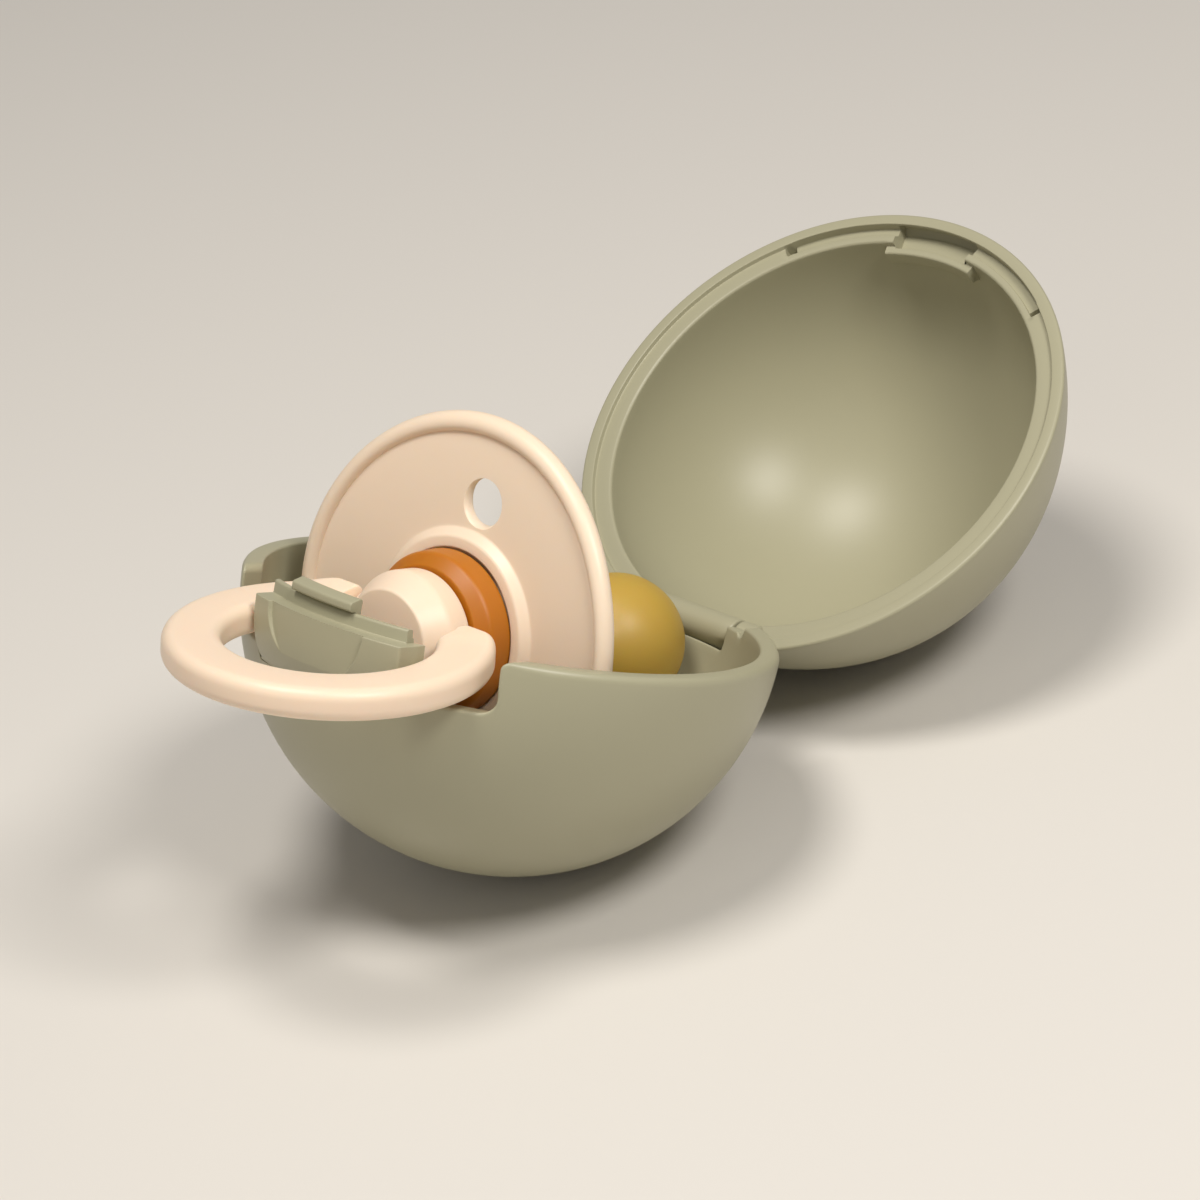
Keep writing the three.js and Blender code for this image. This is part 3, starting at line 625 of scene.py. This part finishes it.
def bowl():
    """The bowl's wall with its openings, and the two hinge ears."""
    stations = bowl_stations()
    outer = np.array([s[0] for s in stations])
    inner = np.array([s[1] for s in stations])

    def into_material(path):
        """At each point of a rim path, the direction along the ball into the wall."""
        tangent = np.roll(path, -1, axis=0) - np.roll(path, 1, axis=0)
        tangent /= np.maximum(np.linalg.norm(tangent, axis=1), 1e-9)[:, None]
        normal = path / np.linalg.norm(path, axis=1)[:, None]
        away = np.cross(tangent, normal)
        away /= np.linalg.norm(away, axis=1)[:, None]
        plain = np.abs(path[:, 2]) < 1e-6
        return away if np.mean(away[plain, 2]) < 0 else -away

    outer_down = into_material(outer)
    inner_down = into_material(inner)
    foot_z = -math.sqrt(BOWL**2 - FOOT**2)
    foot_angle = math.asin(FOOT / BOWL)

    def on_ball(point, radius):
        return point * (radius / np.linalg.norm(point))

    def meridian(radius, azimuth, start):
        """Points of the plain ball from near the pole up to the skirt."""
        end = math.acos(-SKIRT_Z / radius)
        points = []
        for angle in np.linspace(start, end, 22):
            r, z = radius * math.sin(angle), -radius * math.cos(angle)
            points.append(np.array((r * math.sin(azimuth), -r * math.cos(azimuth), z)))
        return points

    columns = []
    for i, (a, b, outer_azimuth, inner_azimuth, edge) in enumerate(stations):
        a, b = np.array(a), np.array(b)
        across_wall = (b - a) / np.linalg.norm(b - a)
        start = on_ball(a + outer_down[i] * edge, BOWL)
        end = on_ball(b + inner_down[i] * EDGE_ROUND, INNER)
        outside = meridian(BOWL, outer_azimuth, foot_angle)
        inside = meridian(INNER, inner_azimuth, 0.001)[::-1]
        column = [np.array((0, 0, foot_z)), *outside]
        for t in np.linspace(0, 1, 12)[1:-1]:
            column.append(on_ball(outside[-1] * (1 - t) + start * t, BOWL))
        column += corner_curve(start, a, a + across_wall * edge, 6)
        column += corner_curve(b - across_wall * EDGE_ROUND, b, end, 3)
        for t in np.linspace(0, 1, 12)[1:-1]:
            column.append(on_ball(end * (1 - t) + inside[0] * t, INNER))
        column += inside
        columns.append(column)
    verts, faces = loft(columns)
    shell = add_object("bowl_shell", verts, faces, CASE, merge=1e-3, sharp=50)
    ear_outline = [
        (HINGE_Y - BARREL - GAP, EAR_TOP),
        *arc(HINGE_Y, HINGE_Z, BARREL, 145, -50, 22),
        (HINGE_Y - BARREL, HINGE_Z - EAR_FOOT),
        (HINGE_Y - BARREL - 2 * GAP, HINGE_Z - EAR_FOOT),
    ]
    outline = evenly(ear_outline + ear_outline[:1], 0.4)[:-1]
    ears = [
        prism(f"ear_{side}", outline, x0, x1, CASE, edge=0.3, trim=TRIM)
        for side, x0, x1 in (("a", EAR_IN, EAR_OUT), ("b", -EAR_OUT, -EAR_IN))
    ]
    return joined("bowl", [shell, *ears])


# Latch tab


def tab():
    """The tab's skin, section by section along X, and the hook on its rib."""

    def ball(radius, z):
        return math.sqrt(radius**2 - z * z)

    def face(z):
        """The tab's face bulges out from the ball towards the ledge."""
        t = min(1, max(0, (z - TAB_ROOT) / (LEDGE - TAB_ROOT)))
        return ball(BOWL, z) + TAB_PROUD * (1 - (1 - t) ** 3)

    def side_drop(x):
        """How far the face falls back where the tab's side edges are rounded."""
        near = max(0, 1 - (TAB_HALF - abs(x)) / TAB_SIDE_ROUND)
        return TAB_SIDE_ROUND * (1 - math.sqrt(1 - min(1, near) ** 2))

    bottom = TAB_ROOT - GAP + TAB_SEAM
    outside = [(face(z), z) for z in np.linspace(bottom + 0.05, LEDGE - 0.25, 80)]
    root = [
        (ball(BOWL, bottom) - 0.4, bottom, 0),
        (ball(BOWL, bottom), bottom, 0.05),
        (*outside[0], 0),
    ]
    profile = rounded(root, 3)[:-1]
    profile += outside
    profile += rounded(
        [
            (*outside[-1], 0),
            (face(LEDGE), LEDGE, 0.22),
            (RIB_OUT, LEDGE, 0.12),
            (RIB_OUT, RIB_TOP, RIB_ROUND),
            (RIB_IN, RIB_TOP, RIB_ROUND),
            (RIB_IN, LEDGE + 0.55, 0.1),
            (ball(INNER, LEDGE + 0.4), LEDGE + 0.4, 0.1),
            (ball(INNER, LEDGE), LEDGE, 0),
        ],
        4,
    )[1:]
    profile += [(ball(INNER, z), z) for z in np.linspace(LEDGE - 0.3, bottom + 0.14, 16)]
    path = np.array(profile)
    tangent = np.roll(path, -1, axis=0) - np.roll(path, 1, axis=0)
    tangent /= np.maximum(np.linalg.norm(tangent, axis=1), 1e-9)[:, None]
    inward = np.stack([-tangent[:, 1], tangent[:, 0]], axis=1)
    columns = []
    for x, inset in edged(-TAB_HALF, TAB_HALF, TAB_EDGE, (0, 30, 60, 90), 260):
        column = []
        for (r, z), away in zip(path, inward):
            r, z = r + away[0] * inset, z + away[1] * inset
            off = math.hypot(x - THUMB_X, z - THUMB_Z)
            if r > RIB_OUT + 0.15 and z <= LEDGE + 0.01:
                floor_r = ball(BOWL, z) + TAB_PROUD - THUMB_DEPTH
                r -= max(0, r - floor_r) * smooth((THUMB - off) / THUMB_EDGE + 0.5)
                r -= side_drop(x)
            if x > RIB_END and r < RIB_OUT + 0.05:
                z = min(z, LEDGE)
            y = -math.sqrt(r * r - x * x)
            z += max(0, y - TAB_BEND_Y) * TAB_BEND * max(0, 1 - (z - bottom))
            column.append((x, y, z))
        columns.append(column)
    verts, faces = loft(columns, closed=False, caps=True, loop=True)
    body = add_object("tab_body", verts, faces, CASE, merge=1e-3, sharp=45)
    hook_profile = rounded(
        [
            (RIB_IN + 0.1, LEDGE + 0.2, 0),
            (INNER, LEDGE + 0.2, 0.05),
            (INNER, HOOK_TOP, HOOK_ROUND),
            (NOSE_OUT, NOSE_TOP, HOOK_ROUND),
            (NOSE_OUT, NOSE_UNDER, 0.3),
            (RIB_OUT - 0.2, NOSE_UNDER, 0.05),
            (RIB_OUT - 0.2, LEDGE + 0.2, 0),
        ],
        5,
    )
    path = np.array(hook_profile)
    centre = path.mean(axis=0)
    columns = []
    for x, inset in edged(-HOOK_HALF, HOOK_HALF, TAB_EDGE, (0, 30, 60, 90), 40):
        column = []
        for r, z in path:
            to_centre = centre - (r, z)
            to_centre /= np.linalg.norm(to_centre)
            r, z = r + to_centre[0] * inset, z + to_centre[1] * inset
            at = x + HOOK_X
            column.append((at, -math.sqrt(r * r - at * at), z))
        columns.append(column)
    verts, faces = loft(columns, closed=False, caps=True, loop=True)
    hook = add_object("tab_hook", verts, faces, CASE, merge=1e-3, sharp=45)
    return joined("tab", [body, hook])


# Lid, in its shut position


def cavity_radius(z):
    """Radius of the lid's inside at a height."""
    return CAVITY * math.sqrt(1 - ((z - CAVITY_BASE) / CAVITY_DEPTH) ** 2)


def lid_zones():
    """Rim outlines round the lid. Each zone has the same number of corners (radius, z, round)."""
    low = LID_LEDGE
    inward = [(CAVITY, low, 0.33), *((cavity_radius(z), z, 0) for z in (1.8, 2.6, 3.5, 3.9))]
    block = [
        (BLOCK_IN, BLOCK_LOW, 0.25),
        (BLOCK_IN, BLOCK_TOP - 0.15, 0.25),
        (cavity_radius(BLOCK_TOP), BLOCK_TOP, 0.1),
    ]
    side = [
        (LID_EDGE, GAP, 0.3),
        (RIM_STEP, GAP, 0.12),
        (RIM_STEP - 0.1, low, 0.14),
        (26.8, low, 0),
        (26.6, low, 0),
        (26.4, low, 0),
        (26.0, low, 0),
        *inward,
    ]
    front = [
        (LID_EDGE, GAP, 0.3),
        (GROOVE_OUT, GAP, 0.12),
        (GROOVE_OUT, 0.8, 0),
        (GROOVE_OUT, 1.1, 0),
        (GROOVE_OUT, GROOVE_TOP, 0.1),
        (GROOVE_IN, GROOVE_TOP, 0.1),
        (GROOVE_IN, low, 0.12),
        *inward,
    ]
    notch = [
        (LID_EDGE, GAP, 0.3),
        (NOTCH_OUT, GAP, 0.1),
        (NOTCH_OUT, 0.8, 0),
        (NOTCH_OUT, 1.5, 0),
        (NOTCH_OUT, NOTCH_TOP, 0.1),
        (GROOVE_IN, NOTCH_TOP, 0.1),
        (GROOVE_IN, low, 0.1),
        *inward,
    ]
    shoulder = [
        *front[:7],
        (CAVITY, low, 0.25),
        (cavity_radius(BLOCK_LOW), BLOCK_LOW, 0.05),
        *block,
    ]
    pocket = [
        (LID_EDGE, GAP, 0.3),
        (GROOVE_OUT, GAP, 0.1),
        (GROOVE_OUT, CATCH_TOP, 0.06),
        (POCKET_OUT, CATCH_TOP, 0.1),
        (POCKET_OUT, 2.1, 0.1),
        (GROOVE_OUT, POCKET_TOP, 0.1),
        (GROOVE_IN, POCKET_TOP, 0),
        (POCKET_IN, POCKET_TOP, 0.15),
        (POCKET_IN, BLOCK_LOW, 0.1),
        *block,
    ]
    return {
        "side": side,
        "front": front,
        "notch": notch,
        "shoulder": shoulder,
        "pocket": pocket,
    }


def lid():
    """The lid's dome and inside, with the zone outlines of its rim, and the hinge knuckle."""

    def outer_radius(z):
        return LID_SPAN * math.sqrt(max(0, 1 - ((z + LID_TAPER) / LID_SEMI) ** 2))

    start = (outer_radius(LID_START), LID_START, 0)
    end = (cavity_radius(CAVITY_START), CAVITY_START, 0)
    profiles = {
        name: rounded([start, *corners, end], 5) for name, corners in lid_zones().items()
    }
    spans = [
        ("pocket", 0, POCKET_ANGLE),
        ("shoulder", POCKET_ANGLE, BLOCK_ANGLE),
        ("front", BLOCK_ANGLE, FRONT_ANGLE),
        ("notch", FRONT_ANGLE, NOTCH_ANGLE),
        ("side", NOTCH_ANGLE, 180),
    ]
    half = []
    margin = 0.14
    for name, start, end in spans:
        first = start if start == 0 else start + margin
        final = end if end == 180 else end - margin
        count = max(3, math.ceil((final - first) / 1.5))
        half += [(name, a) for a in np.linspace(first, final, count + 1)]
    full = half + [(name, 360 - a) for name, a in reversed(half) if 0 < a < 180]
    start_angle = math.asin((LID_START + LID_TAPER) / LID_SEMI)
    outside = [
        (LID_SPAN * math.cos(a), LID_SEMI * math.sin(a) - LID_TAPER)
        for a in np.linspace(math.pi / 2, start_angle, 44)
    ][:-1]
    inside_start = math.asin((CAVITY_START - CAVITY_BASE) / CAVITY_DEPTH)
    inside = [
        (CAVITY * math.cos(a), CAVITY_BASE + CAVITY_DEPTH * math.sin(a))
        for a in np.linspace(inside_start, math.pi / 2, 40)
    ]
    columns = []
    for name, degrees in full:
        angle = math.radians(degrees) - LID_TURN
        profile = outside + profiles[name][:-1] + inside
        columns.append([(r * math.sin(angle), -r * math.cos(angle), z) for r, z in profile])
    verts, faces = loft(columns)
    shell = add_object("lid_skin", verts, faces, LID, merge=1e-3, sharp=42)
    knuckle_outline = [
        (HINGE_Y - BARREL, GAP + 1.3),
        *arc(HINGE_Y, HINGE_Z, BARREL, 180, 430, 34),
        (LID_RIM - 0.4, GAP + 0.3),
        (LID_RIM - 0.8, GAP + 1.3),
    ]
    outline = evenly(knuckle_outline + knuckle_outline[:1], 0.4)[:-1]
    knuckle = prism("knuckle", outline, -KNUCKLE, KNUCKLE, LID, edge=0.25, trim=TRIM)
    return joined("lid", [shell, knuckle])


# Pacifier


def bent(v):
    """The shield's bend towards the mouth and its slight oval, about the line of the vents."""
    x, y, z = v
    along = x * math.sin(VENT_ROLL) + z * math.cos(VENT_ROLL)
    width = x * math.cos(VENT_ROLL) - z * math.sin(VENT_ROLL)
    outward = (math.hypot(x, z) - HUB) / (BEAD - HUB)
    width *= 1 - SHIELD_NARROWING * min(1, max(0, outward))
    return (
        along * math.sin(VENT_ROLL) + width * math.cos(VENT_ROLL),
        y + SHIELD_BEND * (along / BEAD) ** 2,
        along * math.cos(VENT_ROLL) - width * math.sin(VENT_ROLL),
    )


def vent_cutter(place):
    """A turned cutter for one vent, which also rounds the vent's front and rear edges."""
    front = VENT + VENT_LIP
    rear = VENT + VENT_REAR_LIP
    profile = [(0, -4), (front, -4), (front, -0.35)]
    profile += [
        (front - VENT_LIP * math.sin(a), -0.35 + VENT_LIP * (1 - math.cos(a)))
        for a in np.radians(np.linspace(0, 90, 8))
    ]
    profile += [(VENT, 1.0)]
    profile += [
        (rear - VENT_REAR_LIP * math.cos(a), 1.0 + VENT_REAR_LIP * math.sin(a))
        for a in np.radians(np.linspace(15, 90, 5))
    ]
    profile += [(rear, 5), (0, 5)]
    return lathe("vent_cutter", profile, SOOTHER @ Matrix.Translation(place), 64)


def shield_piece():
    """The shield with its bead and its hub rings, turned, bent and cut by the two vents."""

    def front(r):
        """The shield's face slopes a little towards its bead."""
        return FACE_RISE - FACE_SLOPE * max(0, r - FACE_IN)

    hub = rounded(
        [
            (SHIELD_BORE, REAR_HUB_BACK, 0),
            (SHIELD_BORE, GAP, 0.15),
            (HUB_IN, GAP, 0.05),
            (HUB_IN, HUB_FRONT, 0.25),
            (HUB_TOP, HUB_FRONT, 0.5),
            (HUB, FACE_RISE, 0.45),
            (FACE_IN, front(FACE_IN), 0),
        ],
        5,
    )
    edge = [(FACE_OUT, front(FACE_OUT))]
    edge += arc(BEAD, 0, BEAD_ROUND, 205, 450, 26)
    edge += [(BEAD - BEAD_ROUND, 1.28), (20.2, SHIELD_BACK)]
    rear_hub = rounded(
        [
            (FACE_IN, SHIELD_BACK, 0),
            (REAR_HUB + 0.6, SHIELD_BACK, 0.4),
            (REAR_HUB, REAR_HUB_BACK, 0.3),
            (5.2, REAR_HUB_BACK, 0.2),
            (SHIELD_BORE, REAR_HUB_BACK, 0),
        ],
        5,
    )
    rings = np.linspace(FACE_IN, FACE_OUT, 24)
    profile = hub[:-1] + [(r, front(r)) for r in rings] + edge[1:-1]
    profile += [(r, SHIELD_BACK) for r in rings[::-1]] + rear_hub[1:]
    columns = []
    for angle in np.linspace(0, 2 * math.pi, 192, endpoint=False):
        columns.append([(r * math.sin(angle), y, r * math.cos(angle)) for r, y in profile])
    verts, faces = loft(columns)
    verts = np.array([bent(v) for v in verts])
    body = add_object("shield_body", verts, faces, SOOTHER, merge=1e-3, sharp=40)
    for side in (1, -1):
        away = side * VENT_PLACE
        place = bent((away * math.sin(VENT_ROLL), 0, away * math.cos(VENT_ROLL)))
        cutter = vent_cutter(place)
        cut = body.modifiers.new("vent", "BOOLEAN")
        cut.operation = "DIFFERENCE"
        cut.solver = "EXACT"
        cut.object = cutter
        bpy.context.view_layer.objects.active = body
        bpy.ops.object.modifier_apply(modifier=cut.name)
        bpy.data.objects.remove(cutter)
    body.name = "shield"
    body.data.shade_smooth()
    body.data.set_sharp_from_angle(angle=math.radians(30))
    return body


def droop(v):
    """The soft neck bends down: each point slides down by a smooth step."""
    return (v[0], v[1], v[2] - DROOP * smooth((v[1] - DROOP_START) / DROOP_LENGTH))


def teat_piece():
    """The teat: a collar with a stem hole, a neck that flares into the bulb, and the bulb."""
    join = math.radians(BULB_ANGLE)
    end = np.array((BULB * math.cos(join), BULB_Y + BULB * math.sin(join)))
    direction = np.array((-math.sin(join), math.cos(join)))
    start = np.array((NECK, NECK_END))
    pull_start = np.array((NECK, (start[1] + end[1]) / 2))
    pull_end = end - direction * NECK * 0.9
    flare = []
    for t in np.linspace(0, 1, 20):
        u = 1 - t
        point = u**3 * start + 3 * u * u * t * pull_start
        point = point + 3 * u * t * t * pull_end + t**3 * end
        flare.append(tuple(point))
    collar = rounded(
        [
            (STEM_HOLE, COLLAR_FRONT, 0),
            (COLLAR_FACE, COLLAR_FRONT, 0.35),
            (COLLAR - 0.05, COLLAR_FRONT + 1.15, 0.9),
            (COLLAR, -GAP, 0.4),
            (NECK, 0, 0.2),
            (NECK, 1, 0),
        ],
        8,
    )
    profile = [(0, COLLAR_FRONT), *collar]
    profile += [(NECK, y) for y in np.linspace(2, NECK_END, 12)[:-1]]
    profile += flare[:-1]
    profile += arc(0, BULB_Y, BULB, BULB_ANGLE, 90, 30)
    return lathe("teat", profile, SOOTHER, bend=droop)


def crosswise(side):
    """Turns a lathe's own axis to X, towards the given side."""
    return Matrix.Rotation(-math.pi / 2 * side, 4, "Z")


def knob_piece():
    """The knob with its slightly domed face, and the flat pads that face the ring's ends."""
    profile = rounded(
        [
            (0, KNOB_BACK, 0),
            (KNOB_REAR, KNOB_BACK, 0.4),
            (KNOB_SIDE, KNOB_SHOULDER, 1.3),
            (KNOB_FACE, KNOB_FRONT, 0.35),
            (2.2, KNOB_FRONT - 0.16, 0.5),
            (0, KNOB_FRONT - KNOB_DOME, 0),
        ],
        12,
    )
    parts = [lathe("knob_body", profile, SOOTHER)]
    pivot = Matrix.Translation((0, PIVOT_Y, PIVOT_Z))
    pad = rounded([(0, 5.5, 0), (PAD, 5.5, 0), (PAD, KNOB_SIDE, 0.1), (0, KNOB_SIDE, 0)], 5)
    for side in (1, -1):
        parts.append(lathe("pad", pad, SOOTHER @ pivot @ crosswise(side), 48))
    return joined("knob", parts)


def ring_piece():
    """A flat open ring with rounded edges and square end faces, on two pivot pins."""
    around_steps = 150

    def end_outline(inset):
        """One end, from its inner edge over the tip, and the angle at which the ring goes on."""
        top = RING_END_TOP - inset
        x = RING_END_X + RING_SPLAY * inset
        tip = RING_TIP - inset
        tip_x = math.sqrt((RING_OUT - inset - tip) ** 2 - (top - tip) ** 2)
        turn_end = math.degrees(math.atan2(top - tip, tip_x))
        points = arc(x + RING_END_EDGE, top - RING_END_EDGE, RING_END_EDGE, 180, 90, 6)
        return points + arc(tip_x, top - tip, tip, 90, turn_end, 10)[:-1], turn_end

    def outline(inset):
        """The whole ring: right end, outer circle, left end and inner circle."""
        points, turn_end = end_outline(inset)
        left = [(-x, y) for x, y in reversed(points)]
        small = RING_IN + inset
        in_angle = math.degrees(math.acos((RING_END_X + RING_SPLAY * inset) / small))
        outer = arc(0, 0, RING_OUT - inset, turn_end, -180 - turn_end, around_steps)
        inner = arc(0, 0, small, 180 - in_angle, 360 + in_angle, around_steps)
        return points + outer + left + inner

    def grown(y):
        """The ends are higher than the ring: the height's share at a place along it."""
        return 1 + (RING_END_HEIGHT / RING_HEIGHT - 1) * smooth(y / RING_END_RISE + 1)

    levels = []
    flat = RING_HEIGHT / 2 - RING_ROUND
    for a in np.radians(np.linspace(90, 0, 9)):
        levels.append((RING_ROUND * (1 - math.cos(a)), flat + RING_ROUND * math.sin(a)))
    levels += [(inset, -z) for inset, z in reversed(levels)]
    columns = [
        [(x, y - RING_REACH, z * grown(y - RING_REACH)) for x, y in outline(inset)]
        for inset, z in levels
    ]
    size = len(columns[0])
    verts, faces = loft(columns, closed=False, loop=True)
    faces = list(faces)
    first = len(end_outline(0)[0])
    last = first + around_steps
    inner_first = size - around_steps - 1
    for base in (0, (len(columns) - 1) * size):
        for k in range(around_steps):
            a = base + first + k
            b = base + size - 1 - k
            faces.append((a, a + 1, b - 1, b))
        faces.append([base + i for i in range(first + 1)] + [base + size - 1])
        faces.append([base + i for i in range(last, inner_first + 1)])
    body = add_object("ring_body", verts, faces, RING, merge=5e-4, sharp=50)
    profile = rounded([(0, 6.2, 0), (PIVOT, 6.2, 0.2), (PIVOT, 9.0, 0), (0, 9.0, 0)], 3)
    pins = [lathe("pivot", profile, RING @ crosswise(side), 32) for side in (1, -1)]
    return joined("ring", [body, *pins])


def hinge_pin():
    """The steel pin through the ears and the knuckle."""
    profile = rounded(
        [(0, -PIN_HALF, 0), (PIN, -PIN_HALF, 0.15), (PIN, PIN_HALF, 0.15), (0, PIN_HALF, 0)], 3
    )
    return lathe("pin", profile, CASE @ HINGE @ crosswise(1), 48)


# All pieces

dress(bowl(), SAGE, "bowl", "lower_shell")
dress(tab(), SAGE, "latch", "latch_tab")
dress(lid(), SAGE, "lid", "lid_shell")
dress(shield_piece(), CREAM, "pacifier", "pacifier_shield")
dress(teat_piece(), AMBER, "pacifier", "pacifier_teat")
dress(knob_piece(), CREAM, "pacifier", "pacifier_knob")
dress(ring_piece(), CREAM, "ring", "pacifier_ring")
dress(hinge_pin(), STEEL, "bowl", "hinge_pin")

# Floor, light and camera

bpy.ops.mesh.primitive_plane_add(size=6, location=(0, 0, 0))
floor = bpy.context.object
floor.name = "floor"
floor_material = bpy.data.materials.new("floor_pale")
floor_material.use_nodes = True
floor_tree = floor_material.node_tree
floor_shader = floor_tree.nodes["Principled BSDF"]
floor_shader.inputs["Roughness"].default_value = 0.7
floor_noise = floor_tree.nodes.new("ShaderNodeTexNoise")
floor_noise.inputs["Scale"].default_value = 6
floor_mix = floor_tree.nodes.new("ShaderNodeMix")
floor_mix.data_type = "RGBA"
floor_mix.inputs["A"].default_value = (0.72, 0.69, 0.65, 1)
floor_mix.inputs["B"].default_value = (0.69, 0.66, 0.62, 1)
floor_tree.links.new(floor_noise.outputs["Fac"], floor_mix.inputs["Factor"])
floor_tree.links.new(floor_mix.outputs["Result"], floor_shader.inputs["Base Color"])
floor.data.materials.append(floor_material)

scene = bpy.context.scene
world = bpy.data.worlds.new("studio")
world.use_nodes = True
world.node_tree.nodes["Background"].inputs["Color"].default_value = (1.0, 0.98, 0.95, 1)
world.node_tree.nodes["Background"].inputs["Strength"].default_value = 0.17
scene.world = world


def area_light(name, place, target, size, power, color):
    """A round soft lamp that faces a target."""
    data = bpy.data.lights.new(name, "AREA")
    data.shape = "DISK"
    data.size = size
    data.energy = power
    data.color = color
    lamp = bpy.data.objects.new(name, data)
    lamp.location = place
    lamp.rotation_euler = (Vector(target) - Vector(place)).to_track_quat("-Z", "Y").to_euler()
    scene.collection.objects.link(lamp)


# The camera, in the case's frame as it was fitted to the bowl and the lid

CAMERA_AZIMUTH = math.radians(39.64)
CAMERA_ELEVATION = math.radians(11.58)
CAMERA_ROLL = math.radians(10.34)
CAMERA_TARGET = Vector((2.35, 11.85, 0.63)) * (BOWL / 30)
CAMERA_DISTANCE = 612.44 * (BOWL / 30)
HALF_FRAME = 600  # pixels
FOCAL_LENGTH = 5500  # pixels

backward = Vector(
    (
        math.sin(CAMERA_AZIMUTH) * math.cos(CAMERA_ELEVATION),
        -math.cos(CAMERA_AZIMUTH) * math.cos(CAMERA_ELEVATION),
        math.sin(CAMERA_ELEVATION),
    )
)
place = CAMERA_TARGET + backward * CAMERA_DISTANCE
right = (-backward).cross(Vector((0, 0, 1))).normalized()
above = right.cross(-backward)
rolled_right = right * math.cos(CAMERA_ROLL) + above * math.sin(CAMERA_ROLL)
rolled_up = above * math.cos(CAMERA_ROLL) - right * math.sin(CAMERA_ROLL)
aim = Matrix((rolled_right, rolled_up, backward)).transposed().to_4x4()
camera_data = bpy.data.cameras.new("camera")
camera_data.angle = 2 * math.atan(HALF_FRAME / FOCAL_LENGTH)
camera_data.clip_start = 0.01
camera = bpy.data.objects.new("camera", camera_data)
camera.matrix_world = Matrix.Translation(CASE @ place) @ turn @ aim
scene.collection.objects.link(camera)
scene.camera = camera

eye = camera.matrix_world.to_3x3()
view_right = eye.col[0]
view_back = eye.col[2]
level_right = Vector((view_right.x, view_right.y, 0)).normalized()
level_back = Vector((view_back.x, view_back.y, 0)).normalized()
fill_place = level_back * 0.6 - level_right * 0.3 + Vector((0, 0, 0.4))
middle = (0, 0.03, 0.02)
area_light("ceiling", (-0.016, -0.125, 0.58), middle, 0.2, 1.95, (1.0, 0.96, 0.9))
area_light("window", (0.36, -0.015, 0.5), middle, 0.2, 1.95, (1.0, 0.97, 0.92))
area_light("fill", fill_place, (0, 0, 0.02), 0.5, 0.45, (1.0, 0.97, 0.93))

scene.view_settings.view_transform = "Standard"
